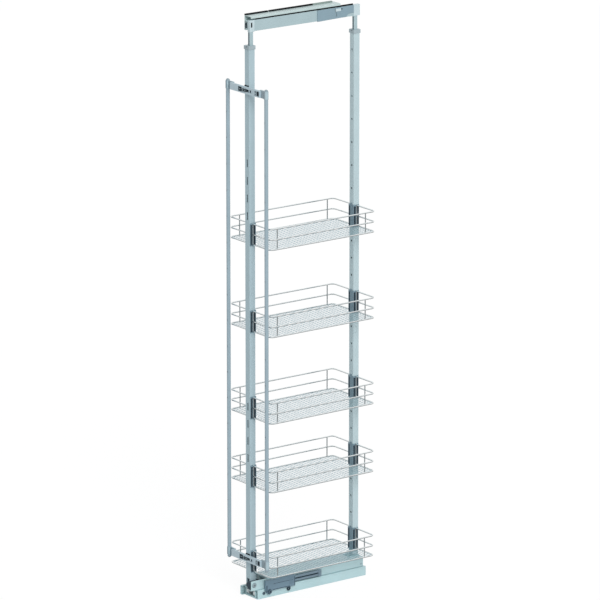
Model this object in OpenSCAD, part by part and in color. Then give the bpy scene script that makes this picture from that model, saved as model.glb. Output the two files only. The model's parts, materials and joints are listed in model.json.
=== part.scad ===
// Pull out pantry frame: a tall two-post frame with five wire baskets. It rolls out of a
// cabinet on a base runner and is guided at the top by a telescopic rail.
// Sizes in millimetres, +Z up, the door side faces -Y, X runs across the cabinet.
// Origin: middle of the base rail's fixing holes, on the cabinet floor.

/* [Posts] */
// Distance between the post centres, front to back
post_pitch = 464; // [456:2:472]
// Width of a post across the cabinet
post_width = 25; // [24:0.5:26]
// Depth of a post
post_depth = 25; // [24.5:0.5:26]
// Wall of a post
post_wall = 2; // [1.6:0.1:2.2]
// Top of the outer posts above the cabinet floor
post_top = 2033; // [2020:1:2038]
// Pitch of the basket holes
hole_pitch = 64; // [63:0.5:66]
// First basket hole above the cabinet floor
first_hole = 108; // [107:0.5:112]
// Diameter of a basket hole
hole_size = 8; // [6:0.5:9]
// Pitch of the spare holes above the top basket
spare_pitch = 85; // [83:0.5:86]
// Width of a slot in the front post
slot_width = 7; // [5:0.5:9]
// Height of a slot in the front post
slot_height = 28.5; // [20:0.5:32]

/* [Base runner] */
// Width of the cabinet rail
rail_width = 92; // [92:1:96]
// Height of the cabinet rail
rail_height = 34; // [34:0.5:36]
// Length of the cabinet rail
rail_length = 490; // [480:1:494]
// Sheet thickness of the cabinet rail
rail_wall = 2.5; // [2:0.1:2.6]
// Width of the rail's in-turned lips
rail_lip = 12; // [11:0.5:12.5]
// Distance between the cabinet floor fixing holes, side to side
fixing_x = 44; // [40:1:46]
// Distance between the cabinet floor fixing holes, front to back
fixing_y = 320; // [300:2:336]
// Diameter of a floor fixing hole
fixing_hole = 6; // [5:0.5:7]
// Width of the moving beam
beam_width = 80; // [78:1:80]
// Height of the moving beam
beam_height = 36; // [35:0.5:38]
// Sheet thickness of the moving beam
beam_wall = 2.5; // [2:0.1:2.5]
// Gap between the beam and the rail below it
beam_gap = 1; // [0.8:0.1:1.4]
// Radius of a front roller
roller_radius = 11.7; // [11:0.1:11.7]
// Radius of the roller axle
axle_radius = 3; // [2.5:0.1:3.5]
// Radial clearance of a roller on its axle
axle_clearance = 0.05; // [0.02:0.01:0.1]
// Sliding clearance of the nylon shoes and glides
shoe_clearance = 0.5; // [0.4:0.05:0.6]

/* [Soft close] */
// Length of the soft-close housing
housing_length = 131; // [129:1:136]
// Depth of the soft-close housing off the rail's side
housing_depth = 10; // [10:0.5:12]
// Length of the damper
damper_length = 114; // [112:1:120]
// Radius of the piston rod
piston_radius = 3; // [2:0.1:3]

/* [Top guide] */
// Rise from the top of the outer posts to the underside of the top bar
head_rise = 55; // [51:1:60]
// Height of the top bar
bar_height = 40; // [40:0.5:42]
// Width of the top bar
bar_width = 16; // [16:0.5:16.5]
// Sheet thickness of the top bar
bar_wall = 2; // [1.6:0.1:2]
// Length of the cabinet top rail
top_rail_length = 394; // [390:1:400]
// Width of an inner post
inner_width = 10.5; // [10:0.5:11]
// Depth of an inner post
inner_depth = 15; // [14:0.5:15.5]
// Length of an inner post
inner_length = 420; // [380:5:440]
// Distance between the top fixing holes
top_fixing_y = 320; // [300:2:330]
// Diameter of a top fixing hole
top_fixing_hole = 5; // [4:0.5:6]

/* [Baskets] */
// Width of a basket between wire centres
basket_width = 250; // [246:1:254]
// Corner radius of a basket
basket_corner = 16; // [14:1:20]
// Diameter of a basket rail wire
rail_wire = 5; // [4.5:0.1:5.2]
// Diameter of a basket upright wire
upright_wire = 4; // [3.5:0.1:4.4]
// Drop from the top rail to the middle rail
middle_drop = 38.5; // [37:0.5:41]
// Drop from the top rail to the bottom rail
bottom_drop = 75; // [73:0.5:77]
// Mean distance of an upright from the basket's end
upright_inset = 36; // [32:1:40]
// Stagger of the uprights between the two sides
upright_stagger = 5.5; // [0:0.5:8]
// Thickness of the basket mesh
mesh_thickness = 2; // [1.5:0.1:2.5]
// Width of a strand of the basket mesh
mesh_strand = 3; // [2.5:0.1:4]
// Wall of a basket holder
holder_wall = 2.5; // [2.4:0.1:3]

/* [Door frame] */
// Distance between the rod centres
rod_spacing = 230; // [228:1:232]
// Diameter of a rod
rod_size = 14; // [13:0.5:14]
// Wall of a rod
rod_wall = 1.5; // [1.2:0.1:1.6]
// Pitch of the door screw holes in the rods
rod_hole_pitch = 96; // [95:0.5:97]
// Diameter of a door screw hole
rod_hole = 4.5; // [4:0.5:5]
// Height of the lower cross bar's centre line
lower_bar_z = 149; // [148:0.5:150]
// Drop from the top of the posts to the upper cross bar's centre line
upper_bar_drop = 154; // [150:1:158]
// Height of a cross bar
cross_height = 25; // [24:0.5:26]
// Thickness of a cross bar
cross_depth = 8; // [7.5:0.1:9]

/* [Hidden] */
$fn = 48;
seat = 0.05;
front_y = -post_pitch / 2;
rear_y = post_pitch / 2;
front_face = front_y - post_depth / 2;
front_inner = front_y + post_depth / 2;
post_x = post_width / 2;

rail_front = front_face + 9;
rail_nose = 11;
rail_x = rail_width / 2;
rail_inside = rail_x - rail_wall;
lip_inside = rail_x - rail_lip;
beam_bottom = rail_height + beam_gap;
beam_top = beam_bottom + beam_height;
beam_x = beam_width / 2;
beam_inside = beam_x - beam_wall;
beam_lip_inside = beam_x - rail_lip;
beam_rear = rear_y + post_depth / 2 + 2;
ear_front = front_face - 15.5;
deck_front = front_face + 60;
foot_top = beam_bottom + 17;

plate_bottom = rail_height - rail_wall - 2.5;
plate_top = plate_bottom + 4.5;
plate_x = lip_inside - 4;
hat_x = 22;
hat_top = beam_top - beam_wall - 4.5;
hat_front = deck_front + 4;
middle_front = front_face + 8;
middle_rear = rail_front + rail_length - 22;
roller_y = rail_front + 13;
roller_z = plate_bottom - 0.3 - roller_radius;
roller_inner = 14;
roller_outer = 26;
cheek_outer = 30;
bracket_rear = rail_front + 36;
half_travel = 240;
shank_r = 2.5;
bolt_r = 3;
side_bolt_z = 19;
bracket_screw_y = rail_front + 27;
ear_bolt_y = front_face - 2;
ear_bolt_z = beam_top - 16;
foot_screw_x = 12;
foot_screw_y = rear_y - 24;

housing_front = front_face + 39;
housing_rear = housing_front + housing_length;
housing_x = rail_x + housing_depth;
housing_bolt_y = housing_front + 16;
housing_bolt_z = 25;
housing_low = rail_height - 7;
housing_high = beam_top - 4;
piston_x = rail_x + housing_depth / 2;
piston_z = beam_bottom + 10;
carriage_rear = housing_rear - 8;
damper_rear = housing_rear + damper_length;

bar_bottom = post_top + head_rise;
bar_top = bar_bottom + bar_height;
bar_x = bar_width / 2;
bracket_x = bar_x + 1.5;
inner_x = post_x - post_wall - inner_width / 2 - 2.5;
inner_left = inner_x - inner_width / 2;
inner_right = inner_x + inner_width / 2;
inner_shift = post_depth / 2 - post_wall - inner_depth / 2 - 1;
inner_front_y = front_y + inner_shift;
inner_rear_y = rear_y - inner_shift;
bar_front = front_y + 14.5;
bar_rear = rear_y - 12.5;
top_front = front_face + 10;
top_rear = top_front + top_rail_length;
web_outer = -28;
web_inner = -26;
hook_outer = -21;
hook_inner = -19;
top_web = bar_top + 12;
collar_low = post_top - 9;
collar_high = post_top + 4.5;
collar_wall = 2.5;
collar_screw_z = post_top + 2.25;
collar_screw_r = 1.25;

mesh_step_y = post_pitch / 7.75;
mesh_step_x = basket_width / 5.2;
rail_r = rail_wire / 2;
stud_r = 2;
holder_x = post_x + holder_wall;
holder_web = 2;
stud_x = holder_x + 0.5;
stud_back = 1.2;
bottom_stop = bottom_drop + rail_r + 0.2;
peg_drop = 4;

rod_x = rod_spacing / 2;
rod_r = rod_size / 2;
clamp_r = rod_r + 1.2;
cross_x = rod_x - 27;
link_x = cross_x - 8;
link_height = cross_height + 3;
plate_depth = 3;
cross_back = front_face - plate_depth;
cross_front = cross_back - cross_depth;
upper_bar_z = post_top - upper_bar_drop;
rod_low = lower_bar_z - 19.5;
rod_high = upper_bar_z + 14;
screw_x = post_x - post_wall - 3.5;
bar_head_r = screw_x - 0.5;
bar_head_rise = 3;
slot_rise = 10;
window_height = cross_height - 8;
middle_window = [-14, 43];
outer_windows = [[-38, -17], [61, 67], [71, 86]];
insert_recess = 0.4;

// Height of basket hole number k
function hole_z(k) = first_hole + hole_pitch * k;
// Height of the top rail of a basket hung with its upper pegs in hole number k
function rail_z(k) = hole_z(k) + peg_drop;
// Hole numbers of the five baskets, from the top one down
levels = [20, 15, 10, 6, 1];

module block(x, y, z) {
  translate([x[0], y[0], z[0]])
    cube([x[1] - x[0], y[1] - y[0], z[1] - z[0]]);
}

module bar_along_x(r, x, y, z) {
  translate([x[0], y, z])
    rotate([0, 90, 0])
      cylinder(r = r, h = x[1] - x[0]);
}

module bar_along_y(r, x, y, z) {
  translate([x, y[0], z])
    rotate([-90, 0, 0])
      cylinder(r = r, h = y[1] - y[0]);
}

module bar_along_z(r, x, y, z) {
  translate([x, y, z[0]])
    cylinder(r = r, h = z[1] - z[0]);
}

// Section drawn in X and Z, run along Y
module run_y(y) {
  translate([0, y[1], 0])
    rotate([90, 0, 0])
      linear_extrude(y[1] - y[0])
        children();
}

// Section drawn in Y and Z, run along X
module run_x(x) {
  translate([x[0], 0, 0])
    rotate([90, 0, 90])
      linear_extrude(x[1] - x[0])
        children();
}

// Fixed C-shaped channel on the cabinet floor
module base_rail() {
  color([0.72, 0.8, 0.82])
    difference() {
      union() {
        block([-rail_x, rail_x], [rail_front, rail_front + rail_length], [0, rail_height]);
        block([-rail_x, -lip_inside], [rail_front - rail_nose, rail_front + 1], [0, rail_height]);
      }
      block([-rail_inside, rail_inside], [rail_front - rail_nose - 1, rail_front + rail_length + 1],
            [rail_wall, rail_height - rail_wall]);
      block([-lip_inside, lip_inside], [rail_front - rail_nose - 1, rail_front + rail_length + 1],
            [rail_wall, rail_height + 1]);
      for (x = [-fixing_x / 2, fixing_x / 2], y = [-fixing_y / 2, fixing_y / 2])
        bar_along_z(fixing_hole / 2, x, y, [-1, rail_wall + 1]);
      bar_along_x(shank_r, [rail_inside - 1, rail_x + 1], bracket_screw_y, side_bolt_z);
      bar_along_x(bolt_r, [rail_inside - 1, rail_x + 1], housing_bolt_y, housing_bolt_z);
    }
}

// Bracket in the mouth of the rail that carries the roller axle
module roller_bracket() {
  color([0.6, 0.66, 0.7])
    difference() {
      union() {
        block([-cheek_outer, cheek_outer], [rail_front + 1, bracket_rear], [rail_wall, rail_wall + 2]);
        for (s = [0, 1])
          mirror([s, 0, 0])
            block([roller_outer + 1, cheek_outer], [rail_front + 1, bracket_rear],
                  [rail_wall, plate_bottom - 3]);
        block([cheek_outer - 1, rail_inside], [rail_front + 20, bracket_rear],
              [rail_wall, plate_bottom - 3]);
      }
      bar_along_x(axle_radius, [-cheek_outer - 1, cheek_outer + 1], roller_y, roller_z);
      bar_along_x(shank_r, [cheek_outer + 4, rail_x], bracket_screw_y, side_bolt_z);
    }
}

module roller_axle() {
  color([0.5, 0.52, 0.55])
    bar_along_x(axle_radius, [-cheek_outer, cheek_outer], roller_y, roller_z);
}

// Pair of nylon rollers under the middle rail
module front_rollers() {
  color([0.93, 0.94, 0.94])
    for (s = [0, 1])
      mirror([s, 0, 0])
        difference() {
          bar_along_x(roller_radius, [roller_inner, roller_outer], roller_y, roller_z);
          bar_along_x(axle_radius + axle_clearance, [roller_inner - 1, roller_outer + 1],
                      roller_y, roller_z);
          difference() {
            bar_along_x(roller_radius - 3, [roller_inner - 1, roller_inner + 2], roller_y, roller_z);
            bar_along_x(axle_radius + 2, [roller_inner - 2, roller_inner + 3], roller_y, roller_z);
          }
        }
}

// Screw of the roller bracket and bolt of the soft-close housing
module rail_bolts() {
  color([0.45, 0.5, 0.55]) {
    bar_along_x(6, [rail_x, rail_x + 3], bracket_screw_y, side_bolt_z);
    bar_along_x(shank_r, [cheek_outer + 4, rail_x], bracket_screw_y, side_bolt_z);
    bar_along_x(8.5, [housing_x, housing_x + 5], housing_bolt_y, housing_bolt_z);
    bar_along_x(bolt_r, [rail_inside, housing_x], housing_bolt_y, housing_bolt_z);
  }
}

// Plastic housing of the soft-close unit on the side of the rail
module soft_close_housing() {
  color([0.47, 0.55, 0.63])
    difference() {
      union() {
        block([rail_x, housing_x], [housing_front, housing_rear], [housing_low, housing_high]);
        bar_along_x(11, [rail_x, housing_x], housing_bolt_y, housing_bolt_z);
      }
      block([rail_x + 1.5, housing_x - 1.5], [housing_front + 3, housing_rear - 4],
            [housing_low + 4, piston_z + 8]);
      block([piston_x - 3, piston_x + 3], [housing_front + 24, housing_rear - 4],
            [housing_low - 1, housing_low + 5]);
      bar_along_y(piston_radius + axle_clearance, piston_x, [housing_rear - 5, housing_rear + 1],
                  piston_z);
      block([rail_x - 1, housing_x - 2], [housing_front + 30, housing_rear - 30],
            [housing_high - 2, housing_high + 1]);
      bar_along_x(bolt_r, [rail_x - 1, housing_x + 1], housing_bolt_y, housing_bolt_z);
    }
}

// Oil damper behind the housing
module damper_cylinder() {
  color([0.55, 0.6, 0.66])
    difference() {
      bar_along_y(4.6, piston_x, [housing_rear, damper_rear], piston_z);
      bar_along_y(piston_radius + axle_clearance, piston_x, [housing_rear - 1, damper_rear - 5],
                  piston_z);
    }
}

// Closing spring tube above the damper and the end block that ties the two
module spring_tube() {
  color([0.62, 0.68, 0.72])
    difference() {
      union() {
        bar_along_y(5, piston_x, [housing_rear, damper_rear], piston_z + 13);
        block([piston_x - 4.8, piston_x + 4.8], [damper_rear - 8, damper_rear + 5],
              [piston_z - 6, piston_z + 19]);
      }
      bar_along_y(4.6, piston_x, [damper_rear - 9, damper_rear], piston_z);
    }
}

// Slider in the housing that the closing spring pulls in
module catch_carriage() {
  color([0.3, 0.34, 0.38])
    block([piston_x - 2.8, piston_x + 2.8], [carriage_rear - 30, carriage_rear],
          [housing_low + 5, piston_z + 6]);
}

// Hook-shaped lever that hangs through the slot under the housing
module catch_lever() {
  color([0.2, 0.26, 0.3])
    run_x([piston_x - 2, piston_x + 2])
      difference() {
        union() {
          translate([carriage_rear - 17, 18])
            square([6, housing_low - 13]);
          translate([carriage_rear - 18, 18])
            circle(r = 7);
        }
        translate([carriage_rear - 18, 18])
          circle(r = 3);
      }
}

module damper_rod() {
  color([0.75, 0.77, 0.8])
    bar_along_y(piston_radius, piston_x, [carriage_rear, damper_rear - 12], piston_z);
}

// Third member of the base runner, goes half as far as the frame
module middle_rail() {
  color([0.66, 0.72, 0.75]) {
    difference() {
      union() {
        block([-plate_x, plate_x], [middle_front, middle_rear], [plate_bottom, plate_top]);
        block([-hat_x, hat_x], [hat_front, middle_rear], [plate_top, hat_top]);
      }
      block([-hat_x + 2.5, hat_x - 2.5], [hat_front - 1, middle_rear + 1],
            [plate_top, hat_top - 2.5]);
    }
  }
}

// Nylon shoes of the middle rail that run under the lips of the cabinet rail
module lower_shoes() {
  shoe_x = rail_inside - shoe_clearance;
  color([0.9, 0.91, 0.92])
    for (y = [bracket_rear + half_travel + 6, middle_rear - 42])
      difference() {
        block([-shoe_x, shoe_x], [y, y + 38],
              [rail_wall + shoe_clearance, rail_height - rail_wall - shoe_clearance]);
        block([-plate_x, plate_x], [y - 1, y + 39], [plate_bottom, rail_height]);
      }
}

// Nylon shoes of the middle rail that run inside the moving beam
module upper_shoes() {
  shoe_x = beam_inside - shoe_clearance;
  color([0.9, 0.91, 0.92])
    for (y = [hat_front + 2, hat_front + 136])
      difference() {
        block([-shoe_x, shoe_x], [y, y + 40],
              [beam_bottom + beam_wall + shoe_clearance, beam_top - beam_wall - shoe_clearance]);
        block([-hat_x, hat_x], [y - 1, y + 41], [beam_bottom, hat_top]);
      }
}

// Moving beam that carries both posts, open below, with a forward ear on the right
module base_beam() {
  color([0.7, 0.79, 0.81])
    difference() {
      union() {
        block([-beam_x, beam_x], [front_inner, beam_rear], [beam_bottom, beam_top]);
        block([0, beam_x], [ear_front, beam_rear], [beam_bottom, beam_top]);
      }
      block([-beam_inside, beam_inside], [ear_front - 1, beam_rear + 1],
            [beam_bottom + beam_wall, beam_top - beam_wall]);
      block([-beam_lip_inside, beam_lip_inside], [ear_front - 1, beam_rear + 1],
            [beam_bottom - 1, beam_top - beam_wall]);
      block([-beam_inside, beam_inside], [ear_front - 1, deck_front],
            [beam_bottom + beam_wall, beam_top + 1]);
      bar_along_x(bolt_r, [beam_inside - 1, beam_x + 1], ear_bolt_y, ear_bolt_z);
      bar_along_x(shank_r, [beam_inside - 1, beam_x + 1], rear_y + 4.5, beam_top - 26);
      for (x = [-foot_screw_x, foot_screw_x])
        bar_along_z(shank_r, x, foot_screw_y, [beam_top - beam_wall - 1, beam_top + 1]);
    }
}

// Foot block that ties the front post to the beam and its ear
module front_foot() {
  color([0.3, 0.4, 0.44])
    difference() {
      union() {
        block([-beam_inside, beam_inside], [front_inner, deck_front - 2],
              [beam_bottom + beam_wall, foot_top]);
        block([-post_x, beam_inside], [front_face, front_inner], [beam_bottom + beam_wall, foot_top]);
        block([post_x, beam_inside], [ear_front + 2, front_inner], [foot_top, beam_top - 6]);
        block([-post_x + post_wall, post_x - post_wall],
              [front_face + post_wall + 3, front_inner - post_wall], [foot_top, foot_top + 60]);
        block([post_x, beam_inside], [ear_front + 2, front_face],
              [beam_bottom + beam_wall, foot_top]);
      }
      bar_along_x(bolt_r, [post_x + 4, beam_inside + 1], ear_bolt_y, ear_bolt_z);
    }
}

// Foot plate under the rear post with a plug inside the tube
module rear_foot() {
  color([0.55, 0.62, 0.66])
    difference() {
      union() {
        block([-20, 20], [rear_y - 32, rear_y + post_depth / 2], [beam_top, beam_top + 3]);
        block([-post_x + post_wall, post_x - post_wall],
              [rear_y - post_depth / 2 + post_wall, rear_y + post_depth / 2 - post_wall],
              [beam_top + 3, beam_top + 60]);
      }
      for (x = [-foot_screw_x, foot_screw_x])
        bar_along_z(shank_r, x, foot_screw_y, [beam_top - 1, beam_top + 4]);
    }
}

// Ear bolt of the front foot, stop screw of the beam and the two screws of the rear foot
module foot_bolts() {
  color([0.6, 0.66, 0.7]) {
    bar_along_x(9.5, [beam_x, beam_x + 2.5], ear_bolt_y, ear_bolt_z);
    bar_along_x(bolt_r, [post_x + 4, beam_x], ear_bolt_y, ear_bolt_z);
    bar_along_x(3.4, [beam_x, beam_x + 1.5], rear_y + 4.5, beam_top - 26);
    bar_along_x(shank_r, [beam_inside, beam_x], rear_y + 4.5, beam_top - 26);
    for (x = [-foot_screw_x, foot_screw_x]) {
      bar_along_z(5, x, foot_screw_y, [beam_top + 3, beam_top + 6]);
      bar_along_z(shank_r, x, foot_screw_y, [beam_top - beam_wall, beam_top + 3]);
    }
  }
}

// Rectangular tube of a post, centred on the given depth
module post_tube(y, low) {
  difference() {
    block([-post_x, post_x], [y - post_depth / 2, y + post_depth / 2], [low, post_top]);
    block([-post_x + post_wall, post_x - post_wall],
          [y - post_depth / 2 + post_wall, y + post_depth / 2 - post_wall], [low - 1, post_top + 1]);
  }
}

// Row of basket holes in the wall of a post between the two depths
module hole_row(y) {
  for (k = [0:20])
    bar_along_y(hole_size / 2, 0, y, hole_z(k));
  for (k = [0:6])
    bar_along_y(hole_size / 2, 0, y, post_top - 68.5 - spare_pitch * k);
}

module front_post() {
  color([0.66, 0.73, 0.76])
    difference() {
      post_tube(front_y, foot_top);
      hole_row([front_inner - post_wall - 1, front_inner + 1]);
      for (k = [6:9], g = [0, 14])
        block([-slot_width / 2, slot_width / 2], [front_face - 1, front_face + post_wall + 1],
              [hole_z(k + g + 0.5) - slot_height / 2, hole_z(k + g + 0.5) + slot_height / 2]);
      block([-9, 8], [front_face - 1, front_face + post_wall + 1], [foot_top - 1, foot_top + 19]);
      for (x = [-screw_x, screw_x], z = [lower_bar_z, upper_bar_z])
        bar_along_y(shank_r, x, [front_face - 1, front_face + post_wall + 1], z);
    }
}

module rear_post() {
  color([0.66, 0.73, 0.76])
    difference() {
      post_tube(rear_y, beam_top + 3);
      hole_row([rear_y - post_depth / 2 - 1, rear_y - post_depth / 2 + post_wall + 1]);
    }
}

// Plastic collar on top of an outer post, the inner post slides through it
module collar(y, inner_y) {
  difference() {
    block([-post_x - collar_wall, post_x + collar_wall],
          [y - post_depth / 2 - collar_wall, y + post_depth / 2 + collar_wall],
          [collar_low, collar_high]);
    block([-post_x, post_x], [y - post_depth / 2, y + post_depth / 2], [collar_low - 1, post_top]);
    block([inner_left - 0.3, inner_right + 0.3],
          [inner_y - inner_depth / 2 - 0.3, inner_y + inner_depth / 2 + 0.3],
          [post_top - 1, collar_high + 1]);
    bar_along_y(collar_screw_r, inner_x, [y - post_depth / 2 - 4, inner_y], collar_screw_z);
  }
}

module front_collar() {
  color([0.42, 0.5, 0.57])
    collar(front_y, inner_front_y);
}

module rear_collar() {
  color([0.42, 0.5, 0.57])
    collar(rear_y, inner_rear_y);
}

// Clamping screws that press on the inner posts
module collar_screws() {
  color([0.7, 0.72, 0.75])
    for (y = [[front_y, inner_front_y], [rear_y, inner_rear_y]]) {
      head = y[0] - post_depth / 2 - collar_wall;
      bar_along_y(collar_screw_r, inner_x, [head, y[1] - inner_depth / 2 - 0.3], collar_screw_z);
      bar_along_y(2.2, inner_x, [head - 2, head], collar_screw_z);
    }
}

// Plastic holder on a post's inner face, drawn for the rear post
module holder(k) {
  top = rail_z(k);
  low = top - bottom_stop;
  inner = rear_y - post_depth / 2;
  stud_y = rear_y - stud_back;
  groove = stud_r + 0.3;
  difference() {
    block([-holder_x, holder_x], [inner - holder_web, inner + post_depth - 2], [low - 3, top + 2.5]);
    block([-post_x, post_x], [inner, rear_y + post_depth], [low - 4, top + 3.5]);
    block([-holder_x + 1.5, -6], [inner - holder_web - 1, inner - holder_web + 1.2], [low, top - 3]);
    for (s = [0, 1])
      mirror([s, 0, 0]) {
        block([stud_x - groove, holder_x + 1], [stud_y - groove, stud_y + groove], [low, top + 3.5]);
        for (y = [[inner, stud_y - groove - 1.2], [stud_y + groove + 1.2, inner + post_depth - 3.5]])
          block([holder_x - 1.3, holder_x + 1], y, [low, top - 3]);
      }
  }
  for (z = [hole_z(k), hole_z(k - 1)])
    bar_along_y(hole_size / 2 - seat, 0, [inner - 0.5, inner + post_wall], z);
  block([-4, 4], [inner - holder_web, inner - 0.5], [top + 2, top + 8]);
}

// The two holders of one basket
module holder_pair(k) {
  color([0.47, 0.55, 0.61]) {
    holder(k);
    mirror([0, 1, 0])
      holder(k);
  }
}

module holders_1() {
  holder_pair(levels[0]);
}

module holders_2() {
  holder_pair(levels[1]);
}

module holders_3() {
  holder_pair(levels[2]);
}

module holders_4() {
  holder_pair(levels[3]);
}

module holders_5() {
  holder_pair(levels[4]);
}

// One wire loop of a basket, open at both posts
module basket_loop(z) {
  half = basket_width / 2;
  end = post_pitch / 2;
  for (s = [0, 1], t = [0, 1])
    mirror([s, 0, 0])
      mirror([0, t, 0]) {
        bar_along_y(rail_r, half, [0, end - basket_corner], z);
        translate([half - basket_corner, end - basket_corner, z])
          rotate_extrude(angle = 90)
            translate([basket_corner, 0])
              circle(r = rail_r);
        bar_along_x(rail_r, [stud_x, half - basket_corner], end, z);
      }
}

module basket_wires(k) {
  half = basket_width / 2;
  end = post_pitch / 2;
  top = rail_z(k);
  upright_x = half - rail_r - upright_wire / 2 + 0.6;
  color([0.82, 0.85, 0.87]) {
    for (drop = [0, middle_drop, bottom_drop])
      basket_loop(top - drop);
    for (t = [0, 180], y = [-end + upright_inset - upright_stagger, end - upright_inset - upright_stagger])
      rotate([0, 0, t])
        bar_along_z(upright_wire / 2, upright_x, y, [top - bottom_drop + mesh_thickness / 2, top]);
    for (x = [-stud_x, stud_x], y = [-end + stud_back, end - stud_back])
      bar_along_z(stud_r, x, y, [top - bottom_stop, top + 3.2]);
  }
}

// Plan of the mesh: rounded rectangle, notched around the two posts
module mesh_plan() {
  half = basket_width / 2 - rail_r + 0.3;
  end = post_pitch / 2 - rail_r + 0.3;
  round_r = basket_corner - rail_r + 0.3;
  difference() {
    union() {
      square([2 * half, 2 * (end - round_r)], center = true);
      square([2 * (half - round_r), 2 * end], center = true);
      for (x = [-half + round_r, half - round_r], y = [-end + round_r, end - round_r])
        translate([x, y])
          circle(r = round_r);
    }
    for (s = [-1, 1])
      translate([0, s * end])
        square([2 * (holder_x + 4), 2 * (post_depth / 2 + 5)], center = true);
  }
}

// Diamond-shaped gap of the mesh
module mesh_gap() {
  polygon([[mesh_step_x / 2 - mesh_strand, 0], [0, mesh_step_y / 2 - mesh_strand],
           [-mesh_step_x / 2 + mesh_strand, 0], [0, -mesh_step_y / 2 + mesh_strand]]);
}

module basket_mesh(k) {
  color([0.78, 0.81, 0.83])
    translate([0, 0, rail_z(k) - bottom_drop - mesh_thickness / 2])
      linear_extrude(mesh_thickness)
        difference() {
          mesh_plan();
          for (i = [-2:2], j = [-3:3])
            translate([i * mesh_step_x, j * mesh_step_y])
              mesh_gap();
          for (i = [-1.5:1.5], j = [-2.5:2.5])
            translate([i * mesh_step_x, j * mesh_step_y])
              mesh_gap();
        }
}

module basket_1_wires() {
  basket_wires(levels[0]);
}

module basket_2_wires() {
  basket_wires(levels[1]);
}

module basket_3_wires() {
  basket_wires(levels[2]);
}

module basket_4_wires() {
  basket_wires(levels[3]);
}

module basket_5_wires() {
  basket_wires(levels[4]);
}

module basket_1_mesh() {
  basket_mesh(levels[0]);
}

module basket_2_mesh() {
  basket_mesh(levels[1]);
}

module basket_3_mesh() {
  basket_mesh(levels[2]);
}

module basket_4_mesh() {
  basket_mesh(levels[3]);
}

module basket_5_mesh() {
  basket_mesh(levels[4]);
}

// Plates between the cross bars and the front post
module bar_plates() {
  color([0.6, 0.67, 0.71])
    for (z = [lower_bar_z, upper_bar_z])
      difference() {
        block([-post_x, post_x], [cross_back, front_face],
              [z - cross_height / 2 + 1, z + cross_height / 2 - 1]);
        for (x = [-screw_x, screw_x])
          bar_along_y(shank_r, x, [cross_back - 1, front_face + 1], z);
      }
}

// Screws that clamp the cross bars, they run in the middle window
module bar_screws() {
  color([0.35, 0.4, 0.44])
    for (x = [-screw_x, screw_x], z = [lower_bar_z, upper_bar_z]) {
      bar_along_y(shank_r, x, [cross_front, front_face + post_wall], z);
      bar_along_y(bar_head_r, x, [cross_front - bar_head_rise, cross_front], z);
    }
}

// Flat cross bar with its row of windows
module cross_bar(z) {
  color([0.68, 0.75, 0.78])
    difference() {
      block([-cross_x, cross_x], [cross_front, cross_back],
            [z - cross_height / 2, z + cross_height / 2]);
      block(middle_window, [cross_front - 1, cross_back + 1], [z - slot_rise / 2, z + slot_rise / 2]);
      for (w = outer_windows)
        block(w, [cross_front - 1, cross_back + 1], [z - window_height / 2, z + window_height / 2]);
    }
}

module upper_bar() {
  cross_bar(upper_bar_z);
}

module lower_bar() {
  cross_bar(lower_bar_z);
}

// Dark adjusting blocks that sit in the outer windows of the bars
module bar_inserts() {
  color([0.16, 0.22, 0.26])
    for (w = outer_windows, z = [lower_bar_z, upper_bar_z])
      block(w, [cross_front + insert_recess, cross_back],
            [z - window_height / 2, z + window_height / 2]);
}

// Links from the ends of the cross bars to rings around the rods
module rod_clamps() {
  color([0.64, 0.71, 0.75])
    for (s = [0, 1], z = [lower_bar_z, upper_bar_z])
      mirror([s, 0, 0])
        difference() {
          union() {
            bar_along_z(clamp_r, rod_x, front_face, [z - link_height / 2, z + link_height / 2]);
            block([link_x, rod_x], [cross_back, cross_back + 7],
                  [z - link_height / 2, z + link_height / 2]);
          }
          bar_along_z(rod_r, rod_x, front_face, [z - link_height, z + link_height]);
        }
}

// Round tube with door screw holes every pitch
module rod(x) {
  color([0.67, 0.73, 0.75])
    difference() {
      bar_along_z(rod_r, x, front_face, [rod_low, rod_high]);
      bar_along_z(rod_r - rod_wall, x, front_face, [rod_low - 1, rod_high + 1]);
      for (k = [1:17])
        bar_along_y(rod_hole / 2, x, [front_face - rod_size, front_face + rod_size],
                    lower_bar_z + rod_hole_pitch * k);
    }
}

module left_rod() {
  rod(-rod_x);
}

module right_rod() {
  rod(rod_x);
}

// Domed caps in the ends of both rods
module rod_caps() {
  color([0.55, 0.62, 0.67])
    for (x = [-rod_x, rod_x], end = [0, 1]) {
      z = end == 0 ? rod_low : rod_high;
      translate([x, front_face, z])
        mirror([0, 0, 1 - end])
          union() {
            translate([0, 0, -10])
              cylinder(r = rod_r - rod_wall, h = 10);
            intersection() {
              sphere(r = rod_r);
              cylinder(r = rod_size, h = rod_size);
            }
          }
    }
}

// Inner post that slides in an outer post, with a groove on its front face
module inner_post(y) {
  color([0.7, 0.77, 0.8])
    difference() {
      block([inner_left, inner_right], [y - inner_depth / 2, y + inner_depth / 2],
            [bar_top - 2 - inner_length, bar_top - 2]);
      block([inner_x - 2.5, inner_x + 2.5], [y - inner_depth / 2 - 1, y - inner_depth / 2 + 5],
            [bar_top - 200, bar_bottom - 4]);
    }
}

module front_inner_post() {
  inner_post(inner_front_y);
}

module rear_inner_post() {
  inner_post(inner_rear_y);
}

// Plastic guides on the lower ends of the inner posts
module inner_guides() {
  low = bar_top - 2 - inner_length;
  guide_x = post_x - post_wall - 0.3;
  guide_y = post_depth / 2 - post_wall - 0.3;
  color([0.25, 0.28, 0.3])
    for (y = [[front_y, inner_front_y], [rear_y, inner_rear_y]])
      difference() {
        block([-guide_x, guide_x], [y[0] - guide_y, y[0] + guide_y], [low - 4, low + 26]);
        block([inner_left, inner_right], [y[1] - inner_depth / 2, y[1] + inner_depth / 2],
              [low, low + 27]);
      }
}

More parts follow.
